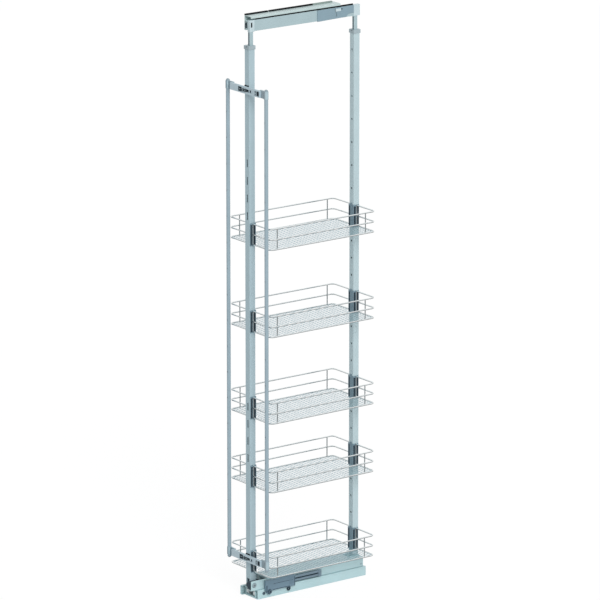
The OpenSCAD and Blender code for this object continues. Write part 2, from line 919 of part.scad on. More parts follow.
// C-shaped top bar, its open side faces the middle rail
module top_bar() {
  color([0.72, 0.79, 0.81])
    difference() {
      block([-bar_x, bar_x], [bar_front, bar_rear], [bar_bottom, bar_top]);
      block([-bar_x + bar_wall, bar_x - bar_wall], [bar_front - 1, bar_rear + 1],
            [bar_bottom + bar_wall, bar_top - bar_wall]);
      block([-bar_x - 1, 0], [bar_front - 1, bar_rear + 1], [bar_bottom + 10, bar_top - 10]);
    }
}

// Bracket block around the upper end of an inner post
module post_bracket(y, outer, low, high) {
  difference() {
    block([inner_left - 1, bracket_x], outer, [low, high]);
    block([inner_left, inner_right], [y - inner_depth / 2, y + inner_depth / 2],
          [low - 1, bar_top - 2]);
  }
}

// Tongue of a bracket inside the end of the bar
module bar_plug(y) {
  block([-bar_x + bar_wall, bar_x - bar_wall], y, [bar_bottom + bar_wall, bar_top - bar_wall]);
}

module top_front_bracket() {
  color([0.76, 0.83, 0.85]) {
    difference() {
      post_bracket(inner_front_y, [inner_front_y - inner_depth / 2 - 1, bar_front],
                   bar_bottom - 2, bar_top);
      block([inner_right, bracket_x + 1], [inner_front_y - 3, inner_front_y + 3],
            [bar_bottom + 14, bar_bottom + 32]);
    }
    bar_plug([bar_front, bar_front + 18]);
  }
}

module top_rear_bracket() {
  color([0.76, 0.83, 0.85]) {
    post_bracket(inner_rear_y, [bar_rear, rear_y + 16], bar_bottom, bar_top);
    bar_plug([bar_rear - 18, bar_rear]);
  }
}

// Plastic cover over the rear part of the bar
module top_cover() {
  s = bar_front + 276;
  color([0.45, 0.53, 0.6])
    run_x([bar_x, bar_x + 3.5])
      difference() {
        polygon([[s, bar_bottom - 1.5], [s, bar_top], [bar_rear, bar_top],
                 [bar_rear, bar_bottom + 13], [bar_rear - 24, bar_bottom + 12],
                 [bar_rear - 32, bar_bottom + 3], [bar_rear - 50, bar_bottom + 1]]);
        polygon([[s + 76, bar_top - 3], [s + 80, bar_top - 3], [s + 86, bar_bottom + 8],
                 [s + 82, bar_bottom + 8]]);
      }
}

// Third member of the top guide
module top_middle_rail() {
  color([0.66, 0.72, 0.75])
    block([hook_inner + 0.5, -bar_x - 4], [top_front + 2, top_rear - 5],
          [bar_bottom + 4, bar_top - 4]);
}

// Nylon glides on both sides of the top middle rail
module top_glides() {
  c = shoe_clearance;
  color([0.9, 0.91, 0.92]) {
    for (y = [top_rear - 150, top_rear - 45]) {
      block([web_inner + c, hook_outer - c], [y, y + 40], [bar_bottom + 3 + c, bar_bottom + 33 - c]);
      block([hook_outer - c, hook_inner + 0.5], [y, y + 40], [bar_bottom + 10, bar_bottom + 26]);
    }
    for (y = [bar_front + 24, bar_front + 124]) {
      block([-bar_x + bar_wall + c, bar_x - bar_wall - c], [y, y + 40],
            [bar_bottom + bar_wall + c, bar_top - bar_wall - c]);
      block([-bar_x - 4, -bar_x + bar_wall + c], [y, y + 40], [bar_bottom + 11, bar_top - 11]);
    }
  }
}

// Aluminium rail under the cabinet top, with a channel on the left and a lip over the bar
module top_rail() {
  color([0.78, 0.84, 0.85])
    difference() {
      run_y([top_front, top_rear])
        union() {
          translate([web_outer, bar_bottom + 1])
            square([web_inner - web_outer, top_web + 2 - bar_bottom - 1]);
          translate([web_outer, top_web])
            square([bar_x + 4 - web_outer, 2]);
          translate([bar_x + 2, bar_top + 6])
            square([2, top_web - bar_top - 5]);
          translate([web_outer, bar_bottom + 1])
            square([hook_inner - web_outer, 2]);
          translate([hook_outer, bar_bottom + 1])
            square([hook_inner - hook_outer, 8]);
          translate([web_outer, bar_bottom + 33])
            square([hook_inner - web_outer, 2]);
          translate([hook_outer, bar_bottom + 27])
            square([hook_inner - hook_outer, 8]);
        }
      for (y = [-top_fixing_y / 2, top_fixing_y / 2])
        bar_along_z(top_fixing_hole / 2, -8, y - 24, [top_web - 1, top_web + 3]);
    }
}

// Dark damping strips on top of the cabinet rail
module top_strips() {
  color([0.1, 0.11, 0.12])
    for (y = [[0, 0.25], [0.265, 0.97]])
      block([web_outer, web_outer + 8],
            [top_front + top_rail_length * y[0], top_front + top_rail_length * y[1]],
            [top_web + 2, top_web + 7]);
}

base_rail();
roller_bracket();
roller_axle();
front_rollers();
rail_bolts();
soft_close_housing();
damper_cylinder();
spring_tube();
catch_carriage();
catch_lever();
damper_rod();
middle_rail();
lower_shoes();
upper_shoes();
base_beam();
front_foot();
rear_foot();
foot_bolts();
front_post();
rear_post();
front_collar();
rear_collar();
collar_screws();
holders_1();
holders_2();
holders_3();
holders_4();
holders_5();
bar_plates();
bar_screws();
left_rod();
right_rod();
rod_caps();
upper_bar();
lower_bar();
rod_clamps();
bar_inserts();
front_inner_post();
rear_inner_post();
inner_guides();
top_bar();
top_front_bracket();
top_rear_bracket();
top_cover();
top_middle_rail();
top_glides();
top_rail();
top_strips();
basket_1_wires();
basket_1_mesh();
basket_2_wires();
basket_2_mesh();
basket_3_wires();
basket_3_mesh();
basket_4_wires();
basket_4_mesh();
basket_5_wires();
basket_5_mesh();
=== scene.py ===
# %% [markdown]
# # Pull out pantry frame
# A tall frame of two steel posts rolls out of a kitchen cabinet on a floor runner. Wire
# baskets hang between the posts, and two rods in front carry the cabinet door. The solids of
# the frame are already made; this lesson dresses them: finishes, fine mesh, screws, rollers
# and soft edges. The first cell loads the solids.

# %% Load the frame
import json
import math

import bmesh
import bpy
from mathutils import Matrix, Vector

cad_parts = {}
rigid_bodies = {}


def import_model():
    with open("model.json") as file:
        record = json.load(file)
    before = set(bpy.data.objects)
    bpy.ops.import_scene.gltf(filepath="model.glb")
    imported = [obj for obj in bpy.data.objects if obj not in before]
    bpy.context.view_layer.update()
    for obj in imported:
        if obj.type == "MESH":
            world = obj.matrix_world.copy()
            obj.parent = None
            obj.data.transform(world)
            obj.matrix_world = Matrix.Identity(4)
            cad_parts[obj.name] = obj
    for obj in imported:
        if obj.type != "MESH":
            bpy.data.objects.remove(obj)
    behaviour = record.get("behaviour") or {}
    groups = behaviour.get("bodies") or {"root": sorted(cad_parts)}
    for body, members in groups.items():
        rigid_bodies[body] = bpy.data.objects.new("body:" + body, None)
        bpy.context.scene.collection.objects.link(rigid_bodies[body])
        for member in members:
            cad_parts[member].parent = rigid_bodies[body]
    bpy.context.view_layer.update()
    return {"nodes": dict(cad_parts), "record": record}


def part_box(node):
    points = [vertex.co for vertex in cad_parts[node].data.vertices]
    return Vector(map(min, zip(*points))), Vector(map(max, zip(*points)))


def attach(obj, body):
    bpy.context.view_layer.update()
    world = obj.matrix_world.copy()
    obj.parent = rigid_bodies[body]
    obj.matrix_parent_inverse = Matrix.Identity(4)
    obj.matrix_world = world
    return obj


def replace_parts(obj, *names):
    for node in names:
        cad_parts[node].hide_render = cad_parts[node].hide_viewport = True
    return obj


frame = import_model()
nodes = frame["nodes"]
bodies = frame["record"]["behaviour"]["bodies"]
body_of = {node: body for body, group in bodies.items() for node in group}
slot_of = {s["node"]: s["material_slot"] for s in frame["record"]["subparts"]}
MM = 0.001
print("solids:", len(nodes), "bodies:", len(bodies))

# %% [markdown]
# ## Camera
# The picture was taken from far away with a long lens, so upright lines stay nearly parallel.
# A lens can be found by trial, but straight edges give it exactly: the camera stands about
# 19 m off, 53 degrees round to the right and 15 degrees up, with a 321 mm lens.

# %% Camera
lens = bpy.data.cameras.new("long_lens")
lens.lens = 321.0
lens.sensor_width = 36.0
lens.clip_end = 100.0
camera = bpy.data.objects.new("camera", lens)
camera.location = (14.907, -11.0702, 6.0135)
camera.rotation_euler = (math.radians(75.1), 0, math.radians(53.43))
bpy.context.collection.objects.link(camera)
scene = bpy.context.scene
scene.camera = camera
scene.view_settings.view_transform = "Standard"
print("camera distance:", round(camera.location.length, 2))

# %% [markdown]
# ## A small desk for shader maths
# A finish is a net of nodes. Wiring each node by hand makes long code, so one class wraps a
# socket and lets + - * / add the Math nodes, and one method makes any other node from its
# type, its settings and the values or links of its sockets.

# %% Shader desk
class Tone:
    """A socket of a node tree. Operators on it add Math nodes."""

    def __init__(self, desk, socket):
        self.desk = desk
        self.socket = socket

    def math(self, operation, other=0.0):
        return self.desk.node("ShaderNodeMath", {"operation": operation}, {0: self, 1: other})

    def __add__(self, other):
        return self.math("ADD", other)

    def __sub__(self, other):
        return self.math("SUBTRACT", other)

    def __rsub__(self, other):
        return self.desk.node("ShaderNodeMath", {"operation": "SUBTRACT"}, {0: other, 1: self})

    def __mul__(self, other):
        return self.math("MULTIPLY", other)

    def __truediv__(self, other):
        return self.math("DIVIDE", other)

    __radd__ = __add__
    __rmul__ = __mul__


class Desk:
    """Makes the nodes of one tree."""

    def __init__(self, tree):
        self.tree = tree
        tree.nodes.clear()

    def node(self, kind, settings=None, inputs=None, output=0):
        made = self.tree.nodes.new(kind)
        for key, value in (settings or {}).items():
            if key == "stops":
                ramp = made.color_ramp
                while len(ramp.elements) < len(value):
                    ramp.elements.new(0.5)
                for element, (place, shade) in zip(ramp.elements, value):
                    element.position = place
                    element.color = (*shade, 1)
            else:
                setattr(made, key, value)
        for key, value in (inputs or {}).items():
            if isinstance(value, Tone):
                self.tree.links.new(value.socket, made.inputs[key])
            else:
                made.inputs[key].default_value = value
        return Tone(self, made.outputs[output]) if len(made.outputs) else made


print("shader desk ready")

# %% [markdown]
# ## Studio light
# Soft light from the right shows the steel without hard shadows. The white behind the frame
# comes from the Light Path node: rays from the lens, and the mirror rays of metal, meet white,
# while the light that falls on the frame stays at a plain level. The key lamp stands well to
# the right, so the right side of each post is a third brighter than its front. Mirror rays
# don't see the lamp, so the plated wires show the white room and no hot spots.

# %% Studio light
world = bpy.data.worlds.new("studio")
scene.world = world
world.use_nodes = True
sky = Desk(world.node_tree)
seen = sky.node("ShaderNodeLightPath", output="Is Camera Ray")
for ray in ("Is Glossy Ray", "Is Transmission Ray"):
    seen = seen + sky.node("ShaderNodeLightPath", output=ray)
seen = sky.node("ShaderNodeClamp", None, {"Value": seen})
sky_light = sky.node("ShaderNodeBackground", None, {"Color": (0.97, 0.99, 1, 1), "Strength": 0.5})
sky_white = sky.node("ShaderNodeBackground", None, {"Color": (1, 1, 1, 1), "Strength": 1.0})
sky_mix = sky.node("ShaderNodeMixShader", None, {0: seen, 1: sky_light, 2: sky_white})
sky.node("ShaderNodeOutputWorld", None, {"Surface": sky_mix})

key_light = bpy.data.lights.new("key_lamp", "SUN")
key_light.energy = 1.6
key_light.angle = math.radians(25)
key_lamp = bpy.data.objects.new("key_lamp", key_light)
key_lamp.rotation_euler = Vector((-0.9, 0.3, -0.6)).to_track_quat("-Z", "Y").to_euler()
key_lamp.visible_glossy = False
bpy.context.collection.objects.link(key_lamp)
print("key lamp strength:", round(key_light.energy, 2))

# %% [markdown]
# ## Floor
# The floor is a large pale square just under the frame. A plain white floor would look grey in
# the picture, so for rays from the lens most of it glows white, and the small matt rest keeps
# the frame's shadow. Mirror rays see a darker floor, which gives the undersides of the metal
# some depth.

# %% Floor
floor_half = 30
floor_drop = 0.8 * MM
floor_grey = 0.9
mirror_loss = 0.5
glow_share = 0.86
glow_strength = 1.06
floor_paint = bpy.data.materials.new("pale_floor")
floor_paint.use_nodes = True
paint = Desk(floor_paint.node_tree)
grey = floor_grey - paint.node("ShaderNodeLightPath", output="Is Glossy Ray") * mirror_loss
shade = paint.node("ShaderNodeCombineColor", None, {0: grey, 1: grey, 2: grey})
matt = paint.node("ShaderNodeBsdfDiffuse", None, {"Color": shade})
glow = paint.node("ShaderNodeEmission", None, {"Color": (1, 1, 1, 1), "Strength": glow_strength})
glowing = paint.node("ShaderNodeLightPath", output="Is Camera Ray") * glow_share
paint_mix = paint.node("ShaderNodeMixShader", None, {0: glowing, 1: matt, 2: glow})
paint.node("ShaderNodeOutputMaterial", None, {"Surface": paint_mix})

floor_mesh = bpy.data.meshes.new("floor")
floor_mesh.from_pydata([(x * floor_half, y * floor_half, -floor_drop)
                        for x, y in ((-1, -1), (1, -1), (1, 1), (-1, 1))], [], [(0, 1, 2, 3)])
floor_mesh.materials.append(floor_paint)
floor = bpy.data.objects.new("floor", floor_mesh)
bpy.context.collection.objects.link(floor)
print("floor width:", 2 * floor_half)

# %% [markdown]
# ## Finishes
# Coated steel isn't one colour: the coat has a faint orange-peel bump, and its grey drifts a
# little. Drawn aluminium has fine lines along its length, plated wire is bright and slightly
# cloudy, and moulded plastic has a small grain. So a finish is a colour and a process. The
# process says how metallic and rough the surface is, by which share its colour drifts, and
# how large its grain is and how much it stands out. Two noises make the drift: wide clouds
# and the grain itself.

# %% How a finish is made
cloud_scale = 9.0
cloud_share = 0.6
rough_clouds = 0.16
rough_grain = 0.08
grain_rise = 0.2
drift_stops = (0.3, 0.7)
processes = {
    "coated": dict(metal=0.1, rough=0.45, drift=0.05, grain=1.2 * MM, bump=0.12),
    "moulded": dict(metal=0.0, rough=0.5, drift=0.06, grain=0.6 * MM, bump=0.2),
    "drawn": dict(metal=0.2, rough=0.4, drift=0.05, grain=0.8 * MM, bump=0.1, stretch=(1, 0.02, 1)),
    "plated": dict(metal=0.8, rough=0.34, drift=0.08, grain=0.5 * MM, bump=0.1),
    "rubber": dict(metal=0.0, rough=0.8, drift=0.12, grain=0.7 * MM, bump=0.25, shine=0.15),
}


def linear(red, green, blue):
    """A colour as the screen shows it, 0 to 255, in linear light."""
    parts = [c / 255 for c in (red, green, blue)]
    return tuple(c / 12.92 if c <= 0.04045 else ((c + 0.055) / 1.055) ** 2.4 for c in parts)


def finish(name, screen_colour, process, rear=None, **changes):
    """A finish of one process, with its changes. rear is a second colour and the Y from which
    it starts."""
    made = {"stretch": (1, 1, 1), "shine": 0.5, **processes[process], **changes}
    colour = linear(*screen_colour)
    material = bpy.data.materials.new(name)
    material.use_nodes = True
    desk = Desk(material.node_tree)
    place = desk.node("ShaderNodeTexCoord", output="Object")
    cloud = desk.node("ShaderNodeTexNoise", None,
                      {"Vector": place, "Scale": cloud_scale, "Detail": 3.0})
    wide = desk.node("ShaderNodeMapping", None, {"Vector": place, "Scale": made["stretch"]})
    fine = desk.node("ShaderNodeTexNoise", None,
                     {"Vector": wide, "Scale": 1 / made["grain"], "Detail": 2.0})
    dark = tuple(c * (1 - made["drift"]) for c in colour)
    pale = tuple(min(1, c * (1 + made["drift"])) for c in colour)
    tint = desk.node("ShaderNodeValToRGB", {"stops": list(zip(drift_stops, (dark, pale)))},
                     {"Fac": cloud * cloud_share + fine * (1 - cloud_share)})
    if rear:
        along = desk.node("ShaderNodeSeparateXYZ", None, {0: place}, 1)
        tint = desk.node("ShaderNodeMix", {"data_type": "RGBA"},
                         {0: along.math("GREATER_THAN", rear[1]), 6: tint,
                          7: (*linear(*rear[0]), 1)}, 2)
    rough = made["rough"] + (cloud - 0.5) * rough_clouds + (fine - 0.5) * rough_grain
    relief = desk.node("ShaderNodeBump", None, {"Height": fine, "Strength": made["bump"],
                                                "Distance": made["grain"] * grain_rise})
    shader = desk.node("ShaderNodeBsdfPrincipled", None,
                       {"Base Color": tint, "Metallic": made["metal"], "Roughness": rough,
                        "Normal": relief, "Specular IOR Level": made["shine"]})
    desk.node("ShaderNodeOutputMaterial", None, {"Surface": shader})
    return material


print("processes:", list(processes))

# %% [markdown]
# ## Finishes of the slots
# The record names one slot for each material of the frame. Each slot gets a process and the
# colour that the picture shows, as screen values, and a change where its surface differs from
# what the process alone would give.

# %% Finishes of the slots
finishes = {
    "grey_steel": finish("grey_coat", (182, 204, 212), "coated"),
    "rail_steel": finish("rail_coat", (190, 218, 222), "coated", metal=0.05),
    "slate_plastic": finish("slate_plastic", (124, 148, 160), "moulded"),
    "grey_plastic": finish("grey_plastic", (170, 186, 192), "moulded", drift=0.05),
    "dark_plastic": finish("dark_plastic", (48, 64, 76), "moulded", rough=0.52, drift=0.1),
    "nylon": finish("white_nylon", (228, 236, 238), "moulded", rough=0.4, drift=0.03,
                    grain=0.8 * MM, bump=0.1),
    "aluminium": finish("drawn_aluminium", (185, 207, 212), "drawn"),
    "bright_steel": finish("zinc_plate", (160, 174, 182), "plated"),
    "damper_grey": finish("damper_grey", (128, 150, 164), "coated", rough=0.4, drift=0.06,
                          grain=0.8 * MM, bump=0.1),
    "wire_chrome": finish("plated_wire", (226, 231, 232), "plated", metal=1.0, rough=0.16,
                          drift=0.04, grain=0.9 * MM, bump=0.04),
    "mesh_silver": finish("plated_mesh", (145, 181, 192), "plated", metal=0.3, rough=0.36,
                          drift=0.06, grain=0.9 * MM, bump=0.06),
    "black_rubber": finish("black_rubber", (20, 23, 25), "rubber"),
}
print("finishes:", len(finishes))

# %% [markdown]
# ## Finishes of single pieces
# One slot of the record covers many pieces, but in the picture some of them are paler or
# darker than the rest: the rear post, the rods, the brackets at the top. These get a finish of
# their own, which comes before that of their slot.
# The rear post's paler coat is painted light: it is the same steel as the front post.

# %% Finishes of single pieces
# Near-black: real black parts, and painted shade in pockets, windows, drives and by the damper.
black_and_painted_shade = finish("black_parts_and_painted_shade", (34, 48, 58), "rubber", rough=0.6, drift=0.1, bump=0.15,
                      shine=0.3)
rod_coat = finish("rod_coat", (164, 184, 194), "coated", rough=0.42)
bar_coat = finish("bar_coat", (194, 213, 222), "coated")
cast = finish("cast_bracket", (206, 224, 229), "coated")
pale_zinc = finish("pale_zinc", (176, 196, 202), "plated", metal=0.5, rough=0.36, drift=0.06)
own_finishes = {
    # Painted light: a paler copy of the grey coat, for the stronger light on the rear post.
    "rear_post": finish("rear_coat_painted_light", (196, 216, 221), "coated"),
    "left_rod": rod_coat,
    "right_rod": rod_coat,
    "rod_caps": finish("cap_plastic", (152, 168, 176), "moulded", drift=0.05),
    "upper_bar": bar_coat,
    "lower_bar": bar_coat,
    # Partly painted shade: the plates' dark coat also darkens the bar windows and the bars' edges.
    "bar_plates": finish("plate_coat_and_painted_shade", (72, 90, 100), "coated", rough=0.5, drift=0.06),
    "bar_screws": finish("black_zinc", (46, 58, 66), "plated", metal=0.4, rough=0.4),
    # Partly painted shade: the black of the blocks also stands for the depth of the windows.
    "bar_inserts": black_and_painted_shade,
    "top_front_bracket": cast,
    "top_rear_bracket": cast,
    "top_rail": finish("pale_aluminium", (204, 222, 222), "drawn"),
    "top_strips": finish("strip_rubber", (20, 23, 25), "rubber", rear=((150, 165, 160), 60 * MM)),
    "top_cover": finish("cover_plastic", (138, 163, 175), "moulded"),
    "soft_close_housing": finish("housing_plastic", (118, 143, 159), "moulded"),
    "rail_bolts": finish("dark_zinc", (110, 130, 145), "plated", metal=0.6, rough=0.4),
    "foot_bolts": pale_zinc,
}


def finish_of(name):
    """The finish of a solid: its own, or that of its slot."""
    return own_finishes.get(name, finishes[slot_of[name]])


for name, node in nodes.items():
    node.data.materials.clear()
    node.data.materials.append(finish_of(name))
print("finishes of single pieces:", len(own_finishes))

# %% [markdown]
# ## Pieces and their bodies
# A new piece that stands for a solid, or sits on one, moves with that solid's body and gets
# the finishes it is given. One function does both, so that no piece is left behind when the
# frame moves. A face keeps the number of its finish, as far as the piece has so many.

# %% Pieces and their bodies
def place_piece(name, mesh, like, *materials):
    """Puts a finished mesh into the scene, on the body of the solid like, with the given finishes."""
    kinds = [min(face.material_index, len(materials) - 1) for face in mesh.polygons]
    mesh.name = name
    mesh.materials.clear()
    for material in materials:
        mesh.materials.append(material)
    mesh.polygons.foreach_set("material_index", kinds)
    piece = bpy.data.objects.new(name, mesh)
    bpy.context.collection.objects.link(piece)
    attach(piece, body_of[like])
    return piece


print("bodies to ride on:", len(set(body_of.values())))

# %% [markdown]
# ## Clean copies
# The solids come as loose triangles. A copy is merged at its corners, and flat faces are
# joined, so that a bevel finds whole edges. A modifier runs on a passing carrier object, and
# only its plain result is kept. Smooth shading with sharp creases makes round parts look
# round and keeps flat parts flat.

# %% Clean copies
merge_reach = 0.001 * MM
flat_angle = math.radians(0.5)


def evaluated_mesh(mesh, set_up):
    """Runs one modifier on a mesh and gives back the plain result."""
    carrier = bpy.data.objects.new("carrier", mesh)
    bpy.context.collection.objects.link(carrier)
    set_up(carrier)
    ready = carrier.evaluated_get(bpy.context.evaluated_depsgraph_get())
    result = bpy.data.meshes.new_from_object(ready)
    bpy.data.objects.remove(carrier)
    return result


def merged(name):
    """The mesh of a solid with its split corners merged and its flat faces joined."""
    shape = bmesh.new()
    shape.from_mesh(nodes[name].data)
    bmesh.ops.remove_doubles(shape, verts=shape.verts, dist=merge_reach)
    bmesh.ops.dissolve_limit(shape, angle_limit=flat_angle, verts=shape.verts, edges=shape.edges)
    return shape


def crease(mesh, degrees):
    """Smooth shading, with an edge kept sharp where the faces turn by more than degrees."""
    if "custom_normal" in mesh.attributes:
        mesh.attributes.remove(mesh.attributes["custom_normal"])
    mesh.shade_smooth()
    mesh.set_sharp_from_angle(angle=math.radians(degrees))


print("solids to copy from:", len(nodes))

# %% [markdown]
# ## Soft edges
# No pressed sheet or moulded part has a razor edge: a bend has a radius and a cut edge is
# deburred. A bevel on every edge would spoil the small holes, so in a clean copy of each solid
# only the long sharp edges get a bevel weight. The bevel is half a millimetre to one
# millimetre, the size of a real bend or mould radius.

# %% Soft edges
sharp_angle = math.radians(40)
shortest_edge = 7 * MM
flat_crease = 20


def soften(name, width, shortest):
    """A copy of a solid whose sharp edges that are longer than shortest are rounded by width."""
    shape = merged(name)
    weight = shape.edges.layers.float.new("bevel_weight_edge")
    for edge in shape.edges:
        sharp = edge.is_manifold and edge.calc_face_angle(0) > sharp_angle
        if sharp and edge.calc_length() > shortest:
            edge[weight] = 1.0
    mesh = bpy.data.meshes.new(name)
    shape.to_mesh(mesh)
    shape.free()

    def bevel(carrier):
        modifier = carrier.modifiers.new("edge", "BEVEL")
        modifier.limit_method = "WEIGHT"
        modifier.width = width
        modifier.segments = 2

    result = evaluated_mesh(mesh, bevel)
    crease(result, flat_crease)
    return result


edge_widths = {
    1.0: ["front_post", "rear_post", "soft_close_housing", "front_foot", "top_strips"],
    0.8: ["base_rail", "base_beam", "front_collar", "rear_collar", "spring_tube", "rod_clamps",
          "top_front_bracket", "top_rear_bracket", "top_cover", "rear_foot", "lower_shoes",
          "upper_shoes", "top_glides", "inner_guides"],
    0.5: ["top_bar", "top_rail", "front_inner_post", "rear_inner_post", "middle_rail",
          "top_middle_rail", "roller_bracket", "catch_carriage", "catch_lever", "upper_bar",
          "lower_bar", "bar_plates", "bar_inserts"],
}
for width, names in edge_widths.items():
    for name in names:
        mesh = soften(name, width * MM, shortest_edge)
        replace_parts(place_piece(name + "_soft", mesh, name, finish_of(name)), name)
    print("edges of %.1f mm:" % width, len(names), "pieces")

# %% [markdown]
# ## Second finishes
# Some faces of one piece get painted light or shade: the groove in the front of each inner post
# lies in shadow and is painted dark, the links of the rod clamps lie in shade beside the ends of
# the cross bars and are painted darker, and the deck of the beam is painted paler than its sides,
# though it is the same steel. Cutting the mesh apart would leave open edges, so the faces are
# found by their place and direction and given a second finish.

# %% Second finishes
facing = 0.9
groove_skin = 0.3 * MM
groove_depth = 5.3 * MM
groove_half = 2.7 * MM
link_slack = 0.2 * MM
deck_slack = MM
# Painted light: the beam's deck gets a paler finish than its sides, though it is the same steel.
deck_painted_light = finish("deck_painted_light", (232, 247, 249), "coated", metal=0.0, rough=0.5, drift=0.04)


def corners(name):
    """The lowest and the highest corner of a solid."""
    return tuple(Vector(corner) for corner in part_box(name))


def paint_faces(name, material, chosen):
    """Gives the faces of a softened piece that chosen(face) picks one more finish."""
    mesh = bpy.data.objects[name + "_soft"].data
    mesh.materials.append(material)
    picked = [face for face in mesh.polygons if chosen(face)]
    for face in picked:
        face.material_index = len(mesh.materials) - 1
    print(name, "painted faces:", len(picked))


# Painted shade: the groove faces of the inner posts get a dark finish for the shadow in them.
for name in ("front_inner_post", "rear_inner_post"):
    low, high = corners(name)
    paint_faces(name, finishes["dark_plastic"],
                lambda face: groove_skin < face.center.y - low.y < groove_depth
                and abs(face.center.x - (low.x + high.x) / 2) < groove_half)
link_front = corners("upper_bar")[1].y + link_slack
# Painted shade: the clamp links beside the bar ends get a darker finish, slate on the left.
for side, material in ((-1, finishes["slate_plastic"]), (1, own_finishes["rod_caps"])):
    paint_faces("rod_clamps", material,
                lambda face: face.normal.y < -facing and face.center.y < link_front
                and face.center.x * side > 0)
deck_height = corners("base_beam")[1].z - deck_slack
paint_faces("base_beam", deck_painted_light,
            lambda face: face.normal.z > facing and face.center.z > deck_height)

# %% [markdown]
# ## Basket holders
# Each holder is a slate plastic clip. A groove in each wing takes the basket's pin, and pockets
# beside it save plastic. The pockets look almost black because they lie in shade. The copy is
# softened like the rest, and the faces on the floors and walls of the pockets get the near-black
# finish as painted shade. A face is found by its place: a pocket's floor lies 1 to 2 mm under the
# wing's outer face.

# %% Basket holders
basket_count = 5
clip_edge = 0.4 * MM
clip_shortest = 6 * MM
pocket_floor = (1.0 * MM, 2.1 * MM)
pocket_wall = (0.4 * MM, 0.9 * MM)
web_floor = (0.8 * MM, 1.6 * MM)


def in_pocket(middle, normal, wing, web):
    """Tells whether a face lies in a pocket of a wing or of the web."""
    depth = wing - abs(middle.x)
    rise = abs(middle.y) - web
    on_floor = abs(normal.x) > facing and pocket_floor[0] < depth < pocket_floor[1]
    on_wall = pocket_wall[0] < depth < pocket_wall[1]
    on_web = abs(normal.y) > facing and web_floor[0] < rise < web_floor[1] and depth > 0
    return on_floor or on_wall or on_web


for number in range(1, basket_count + 1):
    name = "holders_%d" % number
    mesh = soften(name, clip_edge, clip_shortest)
    wing = corners(name)[1].x
    web = min(abs(v.co.y) for v in mesh.vertices)
    piece = place_piece("basket_clips_%d" % number, mesh, name, finishes["slate_plastic"],
                        black_and_painted_shade)
    # Painted shade: the floors and walls of the pockets get the near-black finish.
    for face in mesh.polygons:
        face.material_index = 1 if in_pocket(face.center, face.normal, wing, web) else 0
    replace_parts(piece, name)
    print(piece.name, "dark faces:", sum(f.material_index for f in mesh.polygons))

# %% [markdown]
# ## A bench for Geometry Nodes
# A tree of Geometry Nodes is wired like a finish, so the bench is a desk that also makes named
# inputs and ends the tree. To run it, a modifier on a passing object gets the tree and a value
# for each input, and only the plain mesh is kept.

# %% Bench for Geometry Nodes
class Bench(Desk):
    """A desk for Geometry Nodes. Vectors and shapes pass through node() like numbers."""

    def __init__(self, name):
        super().__init__(bpy.data.node_groups.new(name, "GeometryNodeTree"))
        self.ids = {}

    def inputs(self, **wanted):
        """Makes the named inputs of the tree, each from its kind and first value."""
        sockets = self.tree.interface
        sockets.new_socket("Geometry", in_out="INPUT", socket_type="NodeSocketGeometry")
        for name, (kind, value) in wanted.items():
            socket = sockets.new_socket(name, in_out="INPUT", socket_type="NodeSocket" + kind)
            if value is not None:
                socket.default_value = value
            self.ids[name] = socket.identifier
        start = self.tree.nodes.new("NodeGroupInput")
        return {s.name: Tone(self, s) for s in start.outputs if s.name}

    def axis(self, vector, index):
        """One of the three numbers of a vector."""
        return self.node("ShaderNodeSeparateXYZ", None, {0: vector}, index)

    def result(self, shape):
        """Ends the tree with the shape that it gives back."""
        self.tree.interface.new_socket("Geometry", in_out="OUTPUT", socket_type="NodeSocketGeometry")
        end = self.tree.nodes.new("NodeGroupOutput")
        self.tree.links.new(shape.socket, end.inputs[0])


def run_tree(bench, start=None, **values):
    """Runs a tree on a mesh and gives back the plain mesh that it makes."""
    def set_up(carrier):
        modifier = carrier.modifiers.new("maker", "NODES")
        modifier.node_group = bench.tree
        for key, value in values.items():
            modifier[bench.ids[key]] = value

    return evaluated_mesh(start or bpy.data.meshes.new(bench.tree.name), set_up)


print("bench ready")

# %% [markdown]
# ## Basket mesh: the grid
# The floor of each basket is expanded mesh: one sheet slit and pulled open, so its strands
# enclose long diamonds, about 15 by 39 mm, and lie a little tilted. Drawing each diamond would
# take hours, so a tree puts one strand on every point of a grid. The grid comes first. Points
# around the posts and past the rounded corners are left out.

# %% Grid of the mesh
corner_slack = MM
net = Bench("expanded_mesh")
size = net.inputs(half_width=("Float", 0.12), half_length=("Float", 0.23), corner=("Float", 0.02),
                  across=("Int", 34), along=("Int", 24), strand=("Float", 0.0017),
                  thickness=("Float", 0.0004), tilt=("Float", 0.1), height=("Float", 0.0),
                  gap_half=("Float", 0.022), gap_from=("Float", 0.21), finish=("Material", None))


def length_of(a, b):
    """The long side of a triangle with the short sides a and b."""
    return (a * a + b * b).math("POWER", 0.5)


step_x = size["half_width"] * 2 / size["across"]
step_y = size["half_length"] * 2 / size["along"]
base_x = size["half_width"] - size["corner"]
base_y = size["half_length"] - size["corner"]
grid = net.node("GeometryNodeMeshGrid", None,
                {"Size X": size["half_width"] * 2 - step_x,
                 "Size Y": size["half_length"] * 2 - step_y,
                 "Vertices X": size["across"], "Vertices Y": size["along"]})
point = net.node("GeometryNodeInputPosition")
point_x = net.axis(point, 0).math("ABSOLUTE")
point_y = net.axis(point, 1).math("ABSOLUTE")
at_post = point_x.math("LESS_THAN", size["gap_half"]) * point_y.math("GREATER_THAN", size["gap_from"])
reach = length_of((point_x - base_x).math("MAXIMUM", 0.0), (point_y - base_y).math("MAXIMUM", 0.0))
outside = reach.math("GREATER_THAN", size["corner"] + corner_slack)
kept = net.node("GeometryNodeDeleteGeometry", {"domain": "POINT"},
                {"Geometry": grid, "Selection": at_post.math("MAXIMUM", outside)})
print("grid nodes:", len(net.tree.nodes))

# %% [markdown]
# ## Basket mesh: the strands
# A strand is a thin flat bar as long as the diagonal of one grid step, and a little more, so
# that its ends overlap the next strands. It leans left or right in turn, like the squares of a
# chessboard, and so four strands close a diamond.

